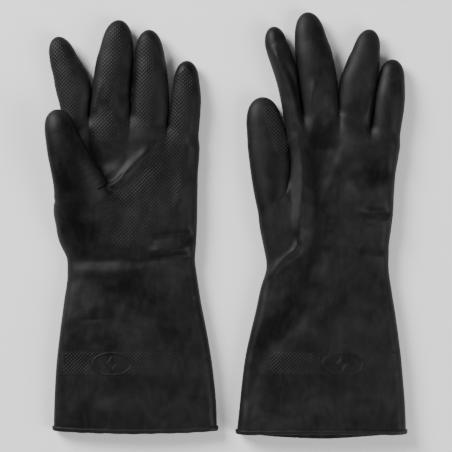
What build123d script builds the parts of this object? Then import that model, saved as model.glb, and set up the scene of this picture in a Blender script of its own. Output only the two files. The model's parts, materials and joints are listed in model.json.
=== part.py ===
"""Electrical insulating gloves: a pair of long dipped-rubber gauntlet gloves, lying flat side by side.

Millimetres. +Z is up from the surface the pair lies on, +Y runs from the cuffs to the fingertips,
+X runs from the left glove to the right glove. The origin is the middle of the footprint, on the surface.
The left glove lies palm up, the right glove lies back up, so both thumbs are on the -X side.

A real glove is one seamless hollow shell. Here each shell is divided where it flexes: a gauntlet with
its rolled cuff bead, a hand, and a base and a tip for each digit. Every piece is hollow and opens into
the next one.
"""

from build123d import *
from dataclasses import dataclass
import os

os.makedirs("parts", exist_ok=True)

# ---------------------------------------------------------------- driving dimensions
wall = 1.2                 # rubber thickness
joint_gap = 0.6            # clear slot between two pieces that flex against each other
flattening = 0.8           # how far an underside is pressed flat by the surface it lies on
bore_overrun = 1.5         # how far a cavity runs past an open end
stub_length = 22.0         # how far each finger's root reaches down inside the hand

wrist_y = -30.0            # flex line between gauntlet and hand
knuckle_end_y = 75.0       # where the hand ends between the fingers
wrist_top = 17.0           # height of the shell at the flex line
end_rounding = 0.42        # corner radius of a flat section, as a share of its depth

finger_top = 16.5          # height of a finger at its root and knuckle
fingertip_top = 14.0       # height of a finger where its dome starts
dome_length = 11.0         # length of a fingertip's rounded end
dome_angles = (0, 22, 42, 60, 76)  # degrees round the dome, one section each

bead_length = 3.6          # rolled bead along the glove
bead_stand = 1.0           # how far the bead stands in and out from the wall
bead_round = 1.4           # rounding of the bead's edges

footprint_centre = (-1.0, -0.7)  # middle of the outline, in the tables' own coordinates


@dataclass
class Station:
    """One cross-section of a hollow shell: where it stands, which way it faces, and its size."""
    x: float
    y: float
    width: float
    top: float
    bottom: float = 0.0
    heading: tuple = (0, 1)

    def moved(self, distance):
        """The same section, shifted along its heading."""
        hx, hy = self.heading
        return Station(self.x + hx * distance, self.y + hy * distance,
                       self.width, self.top, self.bottom, self.heading)


@dataclass
class Digit:
    """A finger or thumb: its root, knuckle and tip seen from above, with width, top and bottom at each."""
    root: tuple
    knuckle: tuple
    tip: tuple
    widths: tuple
    tops: tuple = (finger_top, finger_top, fingertip_top)
    bottoms: tuple = (0.0, 0.0, 0.0)
    heel: Station = None   # where a thumb's root starts inside the hand


# ---------------------------------------------------------------- the two gloves
# Across the hand: y, left edge, right edge, top.
left_hand_sections = (
    (wrist_y, -120, -25, wrist_top),
    (-5, -124, -23, 19),
    (25, -120, -22, 18.5),
    (50, -121, -21.5, 17.2),
    (knuckle_end_y, -123, -22, 16.5),
)
right_hand_sections = (
    (wrist_y, 29, 120, wrist_top),
    (-5, 29, 122.5, 19),
    (18, 43, 124.5, 19.5),
    (45, 44.6, 127, 18.5),
    (knuckle_end_y, 43, 130.5, 16.5),
)

# Across the gauntlet: y, left edge, right edge, top, bottom. The last one is where the bead starts.
left_gauntlet_sections = (
    (wrist_y, -120, -25, wrist_top, 0),
    (-60, -123.5, -20.5, 17, 0),
    (-100, -129, -13, 17, 0),
    (-142, -130.5, -9, 16, 0),
    (-154.5, -131, -8.6, 14, 1.4),
)
right_gauntlet_sections = (
    (wrist_y, 29, 120, wrist_top, 0),
    (-60, 21.5, 124.5, 17, 0),
    (-100, 13, 130, 17, 0),
    (-142, 8.6, 133, 18, 0),
    (-156.5, 8.2, 133.4, 19, 1.4),
)

left_digits = {
    "thumb": Digit((-112, 26), (-118.5, 53), (-128.6, 84), (33, 31, 23),
                   tops=(36, 35, 32), bottoms=(19.6, 18.6, 18), heel=Station(-104, -14, 34, 17)),
    "index": Digit((-115, 90), (-118.2, 112), (-127.6, 140.5), (21.5, 24.5, 19)),
    "middle": Digit((-88.3, 88), (-86, 116), (-81.6, 152), (28.2, 26.5, 21)),
    "ring": Digit((-58.6, 88), (-59, 113), (-59.4, 145), (27, 25.5, 20)),
    "little": Digit((-31.8, 82), (-31.6, 100), (-31, 121.8), (21, 21, 15.5)),
}
right_digits = {
    "thumb": Digit((30.5, 26), (28, 54), (25.3, 92.5), (25, 26.5, 20),
                   tops=(16.5, 16.5, 14.5), heel=Station(41, -16, 22, 16.5)),
    "index": Digit((48.2, 88), (44, 112), (34.3, 147.5), (16, 17, 14)),
    "middle": Digit((70.3, 88), (66.9, 118), (59, 158.7), (25.4, 27, 21)),
    "ring": Digit((96.2, 87), (99.8, 113), (107, 146), (23.6, 24.6, 18.5)),
    "little": Digit((120.2, 83), (122, 101), (123.6, 123.3), (21, 20.4, 15.5)),
}


# ---------------------------------------------------------------- building blocks
def direction(start, end):
    """Unit vector from one point to another, seen from above."""
    unit = Vector(end[0] - start[0], end[1] - start[1]).normalized()
    return (unit.X, unit.Y)


def section_plane(station, inset):
    """Upright plane across the shell at a station, centred on the outer section or on its cavity."""
    press = flattening if station.bottom == 0 and inset == 0 else 0
    middle = (station.top + station.bottom - press) / 2
    hx, hy = station.heading
    return Plane(origin=(station.x - footprint_centre[0], station.y - footprint_centre[1], middle),
                 x_dir=(hy, -hx, 0), z_dir=(hx, hy, 0))


def section_depth(station, inset):
    press = flattening if station.bottom == 0 and inset == 0 else 0
    return station.top - station.bottom + press - 2 * inset


def oval_loft(stations, inset=0.0, mode=Mode.ADD):
    """Loft a digit through oval sections."""
    sections = []
    for station in stations:
        with BuildSketch(section_plane(station, inset)) as outline:
            Ellipse(station.width / 2 - inset, section_depth(station, inset) / 2)
        sections.append(outline.sketch.face())
    loft(sections, ruled=True, mode=mode)


def flat_loft(stations, inset=0.0, mode=Mode.ADD):
    """Loft a hand or gauntlet through flat, round-ended sections."""
    sections = []
    for station in stations:
        depth = section_depth(station, inset)
        with BuildSketch(section_plane(station, inset)) as outline:
            RectangleRounded(station.width - 2 * inset, depth, depth * end_rounding)
        sections.append(outline.sketch.face())
    loft(sections, ruled=True, mode=mode)


def press_flat():
    """Cut away what would lie below the surface, which leaves a flat underside."""
    split(bisect_by=Plane.XY, keep=Keep.TOP)


def flat_stations(sections):
    """Stations from rows of y, left edge, right edge, top and, where it isn't 0, bottom."""
    return [Station((row[1] + row[2]) / 2, row[0], row[2] - row[1], *row[3:]) for row in sections]


def opened(stations, start, end):
    """Run the first station back and the last one on, to open a cavity through an end."""
    return [stations[0].moved(-start), *stations[1:-1], stations[-1].moved(end)]


def digit_stations(digit, index):
    """The section at a digit's root (0) or knuckle (1)."""
    points = (digit.root, digit.knuckle, digit.tip)
    x, y = points[index]
    return Station(x, y, digit.widths[index], digit.tops[index], digit.bottoms[index],
                   direction(points[index], points[index + 1]))


def stub_stations(digit):
    """A digit's root inside the hand, from its heel to the slot at its flex line."""
    root = digit_stations(digit, 0)
    heel = digit.heel or root.moved(-stub_length)
    return [heel, root.moved(-joint_gap / 2)]


def base_stations(digit):
    """The part of a digit from its root to its knuckle."""
    return [digit_stations(digit, 0).moved(joint_gap / 2), digit_stations(digit, 1).moved(-joint_gap / 2)]


def tip_stations(digit, inset=0.0):
    """The part of a digit from its knuckle to its rounded end."""
    knuckle = digit_stations(digit, 1)
    span = (Vector(*digit.tip) - Vector(*digit.knuckle)).length
    stations = [knuckle.moved(joint_gap / 2)]
    for angle in dome_angles:
        spread = Vector(1, 0).rotate(Axis.Z, angle)
        along = span - dome_length + (dome_length - inset) * spread.Y
        middle = (digit.tops[2] + digit.bottoms[2]) / 2
        half_depth = (digit.tops[2] - digit.bottoms[2]) / 2 * spread.X
        section = Station(knuckle.x, knuckle.y, digit.widths[2] * spread.X,
                          middle + half_depth, middle - half_depth, knuckle.heading)
        stations.append(section.moved(along))
    return stations


def scaled_inset(stations, inset):
    """Sections of a cavity, each smaller than its outer section by the wall, but never inside out."""
    return [Station(s.x, s.y, max(s.width - 2 * inset, 1.0), max(s.top - inset, (s.top + s.bottom) / 2 + 0.5),
                    min(s.bottom + inset, (s.top + s.bottom) / 2 - 0.5), s.heading) for s in stations]


# ---------------------------------------------------------------- the pieces
def make_gauntlet(side, sections):
    stations = flat_stations(sections)
    stations[0] = stations[0].moved(-joint_gap / 2)
    stations.reverse()
    with BuildPart() as gauntlet:
        flat_loft(stations)
        press_flat()
        flat_loft(opened(stations, bore_overrun, bore_overrun), wall, Mode.SUBTRACT)
    gauntlet.part.label = f"{side}_gauntlet"
    return gauntlet.part


def make_cuff_bead(side, sections):
    """The rolled bead round the mouth, face to face with the gauntlet's end."""
    mouth = flat_stations(sections)[-1]
    depth = section_depth(mouth, 0)
    corner = depth * end_rounding
    with BuildPart() as bead:
        with BuildSketch(section_plane(mouth, 0)):
            RectangleRounded(mouth.width + 2 * bead_stand, depth + 2 * bead_stand, corner + bead_stand)
            RectangleRounded(mouth.width - 2 * (wall + bead_stand), depth - 2 * (wall + bead_stand),
                             corner - wall - bead_stand, mode=Mode.SUBTRACT)
        extrude(amount=-bead_length)
        fillet(bead.faces().sort_by(Axis.Y)[0].edges(), bead_round)
    bead.part.label = f"{side}_cuff_bead"
    return bead.part


def make_hand(side, sections, digits):
    body = flat_stations(sections)
    body[0] = body[0].moved(joint_gap / 2)
    with BuildPart() as hand:
        flat_loft(body)
        for digit in digits.values():
            oval_loft(stub_stations(digit))
        press_flat()
        flat_loft(opened(body, bore_overrun, -wall), wall, Mode.SUBTRACT)
        for digit in digits.values():
            oval_loft(opened(stub_stations(digit), 0, bore_overrun), wall, Mode.SUBTRACT)
    hand.part.label = f"{side}_hand"
    return hand.part


def make_digit_base(side, name, digit):
    stations = base_stations(digit)
    with BuildPart() as base:
        oval_loft(stations)
        press_flat()
        oval_loft(opened(stations, bore_overrun, bore_overrun), wall, Mode.SUBTRACT)
    base.part.label = f"{side}_{name}_base"
    return base.part


def make_digit_tip(side, name, digit):
    with BuildPart() as tip:
        oval_loft(tip_stations(digit))
        press_flat()
        oval_loft(opened(scaled_inset(tip_stations(digit, wall), wall), bore_overrun, 0), 0, Mode.SUBTRACT)
    tip.part.label = f"{side}_{name}_tip"
    return tip.part


def make_glove(side, gauntlet_sections, hand_sections, digits):
    pieces = [
        make_gauntlet(side, gauntlet_sections),
        make_cuff_bead(side, gauntlet_sections),
        make_hand(side, hand_sections, digits),
    ]
    for name, digit in digits.items():
        pieces.append(make_digit_base(side, name, digit))
        pieces.append(make_digit_tip(side, name, digit))
    return pieces


pair = [
    *make_glove("left", left_gauntlet_sections, left_hand_sections, left_digits),
    *make_glove("right", right_gauntlet_sections, right_hand_sections, right_digits),
]

for piece in pair:
    export_step(piece, f"parts/{piece.label}.step")
    size = piece.bounding_box().size
    print(f"{piece.label}: {len(piece.solids())} solid, {piece.volume:.0f} mm3, "
          f"{size.X:.1f} x {size.Y:.1f} x {size.Z:.1f} mm")

outline = Compound(children=pair).bounding_box()
print(f"outline: {outline.min} to {outline.max}")
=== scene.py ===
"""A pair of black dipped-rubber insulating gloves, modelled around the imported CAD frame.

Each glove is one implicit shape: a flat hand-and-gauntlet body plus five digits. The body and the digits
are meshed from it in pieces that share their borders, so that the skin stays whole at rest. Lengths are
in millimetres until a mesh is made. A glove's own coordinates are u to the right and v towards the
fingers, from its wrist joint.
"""
import json
import math

import bmesh
import bpy
import numpy as np
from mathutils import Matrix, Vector


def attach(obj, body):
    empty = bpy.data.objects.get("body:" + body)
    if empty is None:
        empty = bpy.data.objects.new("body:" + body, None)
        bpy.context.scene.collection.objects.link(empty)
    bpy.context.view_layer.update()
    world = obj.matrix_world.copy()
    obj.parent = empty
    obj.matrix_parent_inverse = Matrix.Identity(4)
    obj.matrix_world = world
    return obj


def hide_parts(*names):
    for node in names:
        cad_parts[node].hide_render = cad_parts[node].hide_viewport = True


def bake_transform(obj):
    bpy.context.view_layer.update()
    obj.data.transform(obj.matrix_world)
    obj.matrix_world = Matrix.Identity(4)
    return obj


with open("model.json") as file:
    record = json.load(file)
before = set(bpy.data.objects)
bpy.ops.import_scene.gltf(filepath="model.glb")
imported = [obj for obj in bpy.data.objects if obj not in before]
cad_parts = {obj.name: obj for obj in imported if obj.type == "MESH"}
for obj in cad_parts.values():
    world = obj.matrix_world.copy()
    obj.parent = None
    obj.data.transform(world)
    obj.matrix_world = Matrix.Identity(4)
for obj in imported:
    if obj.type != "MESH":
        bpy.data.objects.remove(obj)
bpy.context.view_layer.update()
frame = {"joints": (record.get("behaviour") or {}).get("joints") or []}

MM = 0.001
WALL = 1.3                  # rubber thickness
GRID_STEP = 1.0             # spacing of the grid that the hands are meshed on
WRIST_REACH = 12.0          # how far the wrist's skin runs either side of the joint
FINGERS_V = 97.0            # where the fingers' own skins start
THUMB_CUT = -1.0            # where a thumb's own skin starts, along it from its root joint
FAR = 30.0                  # distance given to points that are far from a digit
CAST_REACH = 34.0           # longest ray from a digit's spine to its skin
ON_SHARE = 0.02             # how near a point has to be to a finger's share to count as on its edge
SNAP_REACH = 2.6            # how far an open edge moves to meet the next skin
COVERED = 0.3               # how deep the hand's skin lies where the thumb hides it
BAND = (-84.5, -64.5)       # the grip band round the cuff
BEAD_RADIUS = 1.95
BEAD_OFFSET = 0.9           # how far the bead stands beyond the mouth
INNER_STEP = 2.4            # spacing of the hand's inside
EDGE_REACH = 24.0           # how far along a finger its rings keep to the edges of its share
FAN_OUT = 16.0              # length over which a finger's rings turn square to it

GRIP_PITCH = 1.95           # spacing of the moulded diamond grip's ridges
GRIP_HEIGHT = 0.4
GRIP_SHARPNESS = 1.1
BADGE_HEIGHT = 0.42         # how far the oval on the cuff stands out
LOZENGE = (3.4, 4.8)        # the half width and half height of the lozenge in it
LEAST_DEPTH = 4.0           # no part of a glove lies thinner than this
GROOVE = 0.42               # depth of the groove along the bead


# ---------------------------------------------------------------- small numeric tools
def smooth_curve(knots, values):
    """A smooth curve through the values, one at each knot, that doesn't overshoot."""
    x, y = np.asarray(knots, float), np.asarray(values, float)
    h = np.diff(x)
    d = np.diff(y) / h
    slopes = np.concatenate([d[:1], np.zeros(len(x) - 2), d[-1:]])
    for i in range(1, len(x) - 1):
        if d[i - 1] * d[i] > 0:
            w1, w2 = 2 * h[i] + h[i - 1], h[i] + 2 * h[i - 1]
            slopes[i] = (w1 + w2) / (w1 / d[i - 1] + w2 / d[i])

    def at(t):
        t = np.clip(t, x[0], x[-1])
        i = np.clip(np.searchsorted(x, t, side="right") - 1, 0, len(h) - 1)
        s = (t - x[i]) / h[i]
        left = (1 + 2 * s) * (1 - s) ** 2 * y[i] + s * (1 - s) ** 2 * h[i] * slopes[i]
        right = s * s * (3 - 2 * s) * y[i + 1] + s * s * (s - 1) * h[i] * slopes[i + 1]
        return left + right

    return at


def unit(vectors):
    """The vectors, each made one long."""
    return vectors / np.maximum(np.linalg.norm(vectors, axis=-1, keepdims=True), 1e-9)


def round_spread(angles, side, up):
    """Directions square to a spine, at angles from its side towards up."""
    return np.cos(angles)[:, None] * side + np.sin(angles)[:, None] * up


def nearest_row(places, v):
    """Which of the places is nearest v."""
    return int(np.argmin(np.abs(places - v)))


def ease(t):
    """0 below 0, 1 above 1, smooth between."""
    t = np.clip(t, 0, 1)
    return t * t * (3 - 2 * t)


def smooth_min(a, b, k):
    """The smaller of two distances, rounded over a width k."""
    k = np.maximum(k, 1e-4)
    h = np.maximum(k - np.abs(a - b), 0) / k
    return np.minimum(a, b) - h * h * k / 4


def path_distance(u, v, points):
    """Distance of each (u, v) to a bent line, and how far along it, from 0 to 1, the nearest point is."""
    points = np.asarray(points, float)
    lengths = np.linalg.norm(np.diff(points, axis=0), axis=1)
    starts = np.concatenate([[0], np.cumsum(lengths)])
    best = np.full(np.shape(u), 1e9)
    along = np.zeros(np.shape(u))
    for a, b, length, start in zip(points[:-1], points[1:], lengths, starts):
        t = np.clip(((u - a[0]) * (b[0] - a[0]) + (v - a[1]) * (b[1] - a[1])) / length ** 2, 0, 1)
        d = np.hypot(u - a[0] - t * (b[0] - a[0]), v - a[1] - t * (b[1] - a[1]))
        near = d < best
        best = np.where(near, d, best)
        along = np.where(near, (start + t * length) / starts[-1], along)
    return best, along


def rounded_path(points, steps=6):
    """A bent line's points, with its bends rounded."""
    points = np.asarray(points, float)
    knots = np.concatenate([[0], np.cumsum(np.linalg.norm(np.diff(points, axis=0), axis=1))])
    t = np.linspace(0, knots[-1], steps * (len(points) - 1) + 1)
    return np.stack([smooth_curve(knots, column)(t) for column in points.T], axis=1)


def inside_outline(u, v, outline, soft):
    """1 inside a closed outline, 0 outside, with an edge of width soft."""
    loop = np.vstack([outline, outline[:1]])
    distance, _ = path_distance(u, v, loop)
    crossings = np.zeros(np.shape(u), int)
    for (u0, v0), (u1, v1) in zip(loop[:-1], loop[1:]):
        if v0 != v1:
            hit = (v0 > v) != (v1 > v)
            crossings += hit & (u < (u1 - u0) * (v - v0) / (v1 - v0) + u0)
    signed = np.where(crossings % 2 == 1, distance, -distance)
    return ease(signed / soft + 0.5)


def waves(u, v, size, seed):
    """Soft unevenness, about -1 to 1, with bumps about size across."""
    random = np.random.default_rng(seed)
    total = 0
    for _ in range(9):
        angle, phase = random.uniform(0, 2 * math.pi, 2)
        k = 2 * math.pi / (size * random.uniform(0.7, 1.9))
        total = total + np.sin(k * (u * math.cos(angle) + v * math.sin(angle)) + phase)
    return total / 4.5


# ---------------------------------------------------------------- the gloves' shapes
class Fold:
    """A ridge (or, with a negative height, a valley) along a path."""

    def __init__(self, height, width, path, fade=0.25):
        self.height, self.width, self.fade = height, width, fade
        self.path = rounded_path(path)

    def at(self, u, v):
        distance, along = path_distance(u, v, self.path)
        ends = ease(along / self.fade) * ease((1 - along) / self.fade)
        return self.height * ends * np.exp(-(distance / self.width) ** 2)


class Digit:
    """A finger or thumb: an oval tube along a spine, with a rounded end. Each row has v, the left and right
    edges there, and for a thumb its top and underside. The tip is the far point of the rounded end."""

    def __init__(self, side, name, rows, tip, blend, heights=None):
        rows = np.array(rows, float)
        if rows.shape[1] == 3:
            heel_v, end_v = rows[0, 0], rows[-1, 0]
            stops = (heel_v, FINGERS_V + 7, end_v - 12, end_v)
            heel, low, high, end = heights
            rows = np.column_stack([rows, smooth_curve(stops, (heel, low, high, end))(rows[:, 0]),
                                    smooth_curve(stops[:2], (0.2, -0.5))(rows[:, 0])])
        v, left, right, top, bottom = rows.T
        centres = np.stack([(left + right) / 2, v, (top + bottom) / 2], axis=1)
        leaning = np.gradient(centres[:, 0], v)
        width = (right - left) / np.sqrt(1 + leaning ** 2)
        knots = np.concatenate([[0], np.cumsum(np.linalg.norm(np.diff(centres, axis=0), axis=1))])
        self.name, self.blend, self.length = name, blend, knots[-1]
        self.dome = math.dist(tip, centres[-1, :2])
        self.half_width = smooth_curve(knots, width / 2)
        self.half_height = smooth_curve(knots, (top - bottom) / 2)
        self.taper = [float(half(self.length) - half(self.length - 1))
                      for half in (self.half_width, self.half_height)]
        self.steps = np.linspace(0, self.length, 20)
        path = np.stack([smooth_curve(knots, column)(self.steps) for column in centres.T], axis=1)
        self.spine = self.soften(path)
        self.beyond_steps = np.append(self.steps, self.length + self.dome)
        self.beyond = np.vstack([self.spine, [*tip, self.spine[-1, 2]]])
        origin = JOINTS[f"{side}_wrist"]["pos"]
        self.root_at, self.knuckle_at = (
            self.nearest(JOINTS[f"{side}_{name}_{joint}"]["pos"] - origin) for joint in ("root", "knuckle"))
        self.is_thumb = name == "thumb"
        if self.is_thumb:
            self.start = self.root_at + THUMB_CUT
        else:
            self.start = float(np.interp(FINGERS_V, self.spine[:, 1], self.steps))

    @staticmethod
    def soften(path):
        """Round the spine's bends, its ends held."""
        for _ in range(4):
            path[1:-1] = (path[:-2] + 2 * path[1:-1] + path[2:]) / 4
        return path

    def nearest(self, spot):
        """The distance along the spine of the point nearest a spot, seen from above."""
        s = np.linspace(0, self.length, 400)
        return float(s[np.argmin(np.linalg.norm(self.point(s)[:, :2] - spot[:2], axis=1))])

    def point(self, s):
        return np.stack([np.interp(s, self.beyond_steps, self.beyond[:, i]) for i in range(3)], axis=-1)

    def frame_at(self, s):
        """Centre, forward, side and up vectors at distance s along the spine."""
        ahead = s + 4.0
        behind = np.maximum(s - 1.0, 0)
        return (self.point(s), *self.square_to(unit(self.point(ahead) - self.point(behind))))

    def ring_frame(self, s):
        """As frame_at, but a finger's rings start level with the others'."""
        centre, forward, side, up = self.frame_at(s)
        if self.is_thumb:
            return centre, forward, side, up
        share = ease((s - self.start) / FAN_OUT)[..., None]
        forward = forward * share + np.array([0.0, 1.0, 0.0]) * (1 - share)
        return (centre, *self.square_to(unit(forward)))

    @staticmethod
    def square_to(forward):
        side = unit(np.stack([forward[..., 1], -forward[..., 0], np.zeros_like(forward[..., 0])], axis=-1))
        return forward, side, np.cross(side, forward)

    def distance(self, p):
        """About the distance to the digit's skin, negative inside, and the distance along the spine."""
        found = np.full(len(p), FAR)
        along = np.zeros(len(p))
        low, high = self.spine.min(axis=0) - FAR, self.spine.max(axis=0) + FAR
        near = np.all((p > low) & (p < high), axis=1)
        if not near.any():
            return found, along
        q = p[near]
        best = np.full(len(q), 1e9)
        s = np.zeros(len(q))
        for i in range(len(self.spine) - 1):
            a, b = self.spine[i], self.spine[i + 1]
            ab = b - a
            t = np.clip((q - a) @ ab / (ab @ ab), 0, 1)
            d = np.sum((q - a - t[:, None] * ab) ** 2, axis=1)
            closer = d < best
            best = np.where(closer, d, best)
            s = np.where(closer, self.steps[i] + t * (self.steps[i + 1] - self.steps[i]), s)
        centre, forward, side, up = self.frame_at(s)
        offset = q - centre
        e = np.sum(offset * forward, axis=1)
        e = np.where((s >= self.length - 1e-6) | (s <= 1e-6), e, 0) / self.dome
        on_dome = np.clip(e, 0, 1)
        narrowing = self.dome * on_dome * (1 - on_dome) ** 2
        width, height = (half(s) + taper * narrowing
                         for half, taper in zip((self.half_width, self.half_height), self.taper))
        x = np.sum(offset * side, axis=1) / width
        z = np.sum(offset * up, axis=1) / height
        k = np.sqrt(x * x + z * z + e * e) + 1e-9
        slope = np.sqrt((x / width) ** 2 + (z / height) ** 2 + (e / self.dome) ** 2) + 1e-9
        found[near] = np.maximum((k - 1) * k / slope, -np.minimum(height, width))
        along[near] = s + np.where(s >= self.length - 1e-6, e * self.dome, 0)
        return found, along


class Glove:
    """One glove: its outline, thickness, folds, grip and digits."""

    def __init__(self, side, rows, ends, digits, folds, finger_folds, grips, thumb_grips, badge, mouth,
                 bloom):
        self.side = side
        self.wrist = JOINTS[f"{side}_wrist"]["pos"]
        self.origin = np.array([self.wrist[0], self.wrist[1], 0])
        rows = np.array(rows, float)
        self.left, self.right = smooth_curve(rows[:, 0], rows[:, 1]), smooth_curve(rows[:, 0], rows[:, 2])
        self.depth = smooth_curve(rows[:, 0], rows[:, 3])
        self.mouth_v = rows[0, 0]
        self.end = smooth_curve(*np.array(ends, float).T)
        self.thumb, self.fingers = digits[0], digits[1:]
        self.folds, self.finger_folds, self.bloom = (
            [Fold(*row) for row in table] for table in (folds, finger_folds, bloom))
        self.grips, self.thumb_grips, self.badge, self.mouth = grips, thumb_grips, badge, mouth

    def span(self, v):
        """The body's middle and half its width."""
        left, right = self.left(v), self.right(v)
        return (left + right) / 2, (right - left) / 2

    def thickness(self, u, v):
        """Height of the body's upper surface above the surface it lies on."""
        middle, half = self.span(v)
        across = np.clip(np.abs(u - middle) / half, 0, 1)
        height = self.depth(v) * (0.74 + 0.26 * (1 - across ** 2))
        for fold in self.folds:
            height = height + fold.at(u, v) * ease((1 - across) * half / 4 + 0.25)
        return height + 0.22 * waves(u, v, 26, 3) + 0.1 * waves(u, v, 9, 8)

    def body(self, p):
        """About the distance to the hand-and-gauntlet body."""
        u, v, z = p.T
        radius = np.maximum(self.thickness(u, v), LEAST_DEPTH) / 2
        middle, half = self.span(v)
        across = np.maximum(np.abs(u - middle) - (half - radius), 0)
        beyond = np.maximum(v - (self.end(u) - radius), 0)
        return np.sqrt(across ** 2 + beyond ** 2 + (z - radius) ** 2) - radius

    def trunk(self, p, fingers, distances=None):
        """The body with fingers grown smoothly out of it, and their folds."""
        total = body = self.body(p)
        for finger, found in zip(fingers, distances or [finger.distance(p)[0] for finger in fingers]):
            total = np.minimum(total, smooth_min(body, found, finger.blend))
        lift = sum(fold.at(p[:, 0], p[:, 1]) for fold in self.finger_folds)
        return total - lift * ease((p[:, 2] - 5) / 6)

    def with_thumb(self, p, trunk, whole):
        """A trunk with the thumb's heel, which is cut off where the thumb's own skin starts, or not."""
        found, along = self.thumb.distance(p)
        past = along - self.thumb.start
        stub = found if whole else np.maximum(found, past)
        rounding = self.thumb.blend * (1 - ease((past + 12) / 12))
        return np.maximum(np.minimum(trunk, smooth_min(trunk, stub, rounding)), -p[:, 2])

    def hand(self, p, whole=False):
        return self.with_thumb(p, self.trunk(p, self.fingers), whole)

    def cuff(self, p, whole=False):
        return self.with_thumb(p, self.body(p), whole)

    def alone(self, digit):
        """The field of one digit by itself. Where fingers touch or join, each has its half."""
        if digit.is_thumb:
            return lambda p: np.maximum(digit.distance(p)[0], -p[:, 2])
        group = [digit, *self.beside(digit)]

        def field(p):
            distances = [finger.distance(p)[0] for finger in group]
            share = (distances[0] - np.minimum.reduce(distances[1:])) / 2
            return np.maximum(np.maximum(self.trunk(p, group, distances), share), -p[:, 2])

        return field

    def beside(self, digit):
        """The fingers next to one."""
        at = self.fingers.index(digit)
        return self.fingers[max(at - 1, 0):at] + self.fingers[at + 1:at + 2]

    def half_way(self, digit):
        """The field of a finger's share of the space between it and the fingers beside it."""
        beside = self.beside(digit)
        return lambda p: (digit.distance(p)[0] - np.minimum.reduce([o.distance(p)[0] for o in beside])) / 2

    def grip(self, p, normals, digit=None):
        """Height of the moulded relief at points of the skin."""
        u, v, _ = p.T
        mask = np.zeros(len(p))
        for strength, outline in self.thumb_grips if digit is self.thumb else self.grips:
            mask = np.maximum(mask, strength * inside_outline(u, v, np.array(outline, float), 2.0))
        mask = mask * ease((normals[:, 2] - 0.12) / 0.3)
        a, b = (u + v) / math.sqrt(2), (u - v) / math.sqrt(2)
        across, along = np.cos(2 * math.pi * a / GRIP_PITCH), np.cos(2 * math.pi * b / GRIP_PITCH)
        relief = GRIP_HEIGHT * mask * ((1 + across) * (1 + along) / 4) ** GRIP_SHARPNESS
        if digit is None:
            relief = relief + self.badge_relief(u, v, normals, relief)
        return relief

    def badge_relief(self, u, v, normals, relief):
        """A plain raised oval on the cuff with a small lozenge in it."""
        (bu, bv), (half_u, half_v) = self.badge
        oval = np.hypot((u - bu) / half_u, (v - bv) / half_v)
        from_line = np.abs(oval - 1) * half_v
        lozenge = np.abs(np.abs(u - bu) / LOZENGE[0] + np.abs(v - bv) / LOZENGE[1] - 1) * 2.6
        line = np.maximum(1 - ease(from_line / 0.75), 1 - ease(lozenge / 0.8))
        upper = normals[:, 2] > 0.3
        return np.where(upper & (oval < 1.12), BADGE_HEIGHT * line - relief, 0)


def joints_by_name():
    """Joint positions in millimetres, and for a digit's joint the direction that its axis is square to."""
    found = {}
    for joint in frame["joints"]:
        if joint["type"] == "hinge":
            axis = np.array(joint["axis"], float)
            found[joint["name"]] = {"pos": np.array(joint["pos_m"], float) / MM,
                                    "heading": np.array([-axis[1], axis[0], 0.0])}
    return found


JOINTS = joints_by_name()

# ---------------------------------------------------------------- what each glove looks like
# Rows of the body, from the mouth to the fingers: v, left edge, right edge, depth.
LEFT_ROWS = (
    (-122.6, -58.4, 64.2, 13.5), (-108, -58, 63.8, 15.5), (-80, -56.6, 61.2, 17), (-54, -53.9, 57.2, 17.5),
    (-27, -50.4, 52, 17), (-9, -48, 49.3, 16.5), (3, -47.9, 47.8, 17), (18, -52, 48.8, 18.5),
    (36, -55.2, 49.4, 19), (60, -54, 49.8, 18.5), (85, -50, 50.1, 17.2), (97, -50.6, 50.6, 15.6),
    (112, -52, 51, 11.5),
)
RIGHT_ROWS = (
    (-124.9, -67.8, 59, 18.5), (-108, -66, 58.4, 18), (-90, -64.2, 57.1, 17.5), (-72, -61.9, 55.5, 17.5),
    (-54, -58.2, 53.4, 17.5), (-36, -53.9, 50.8, 17.5), (-18, -50, 48, 17), (-2, -45.7, 46.0, 17),
    (12, -46.5, 46.2, 17.5), (27, -48.6, 48, 18.5), (38, -46, 49.3, 19), (52, -37, 50, 19.2),
    (66, -30, 51, 18.8), (80, -27.8, 52.2, 17.8), (97, -30.4, 54.6, 15.6), (112, -33, 56, 11.5),
)
# Where the body ends between the fingers: u, v.
LEFT_ENDS = ((-55, 95), (-43, 102), (-32, 107.5), (-7, 108.5), (23, 100), (34, 97), (52, 91))
RIGHT_ENDS = ((-34, 93), (-25, 100), (-16.3, 108.5), (8.4, 111), (33, 98), (45, 97), (58, 89))

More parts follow.
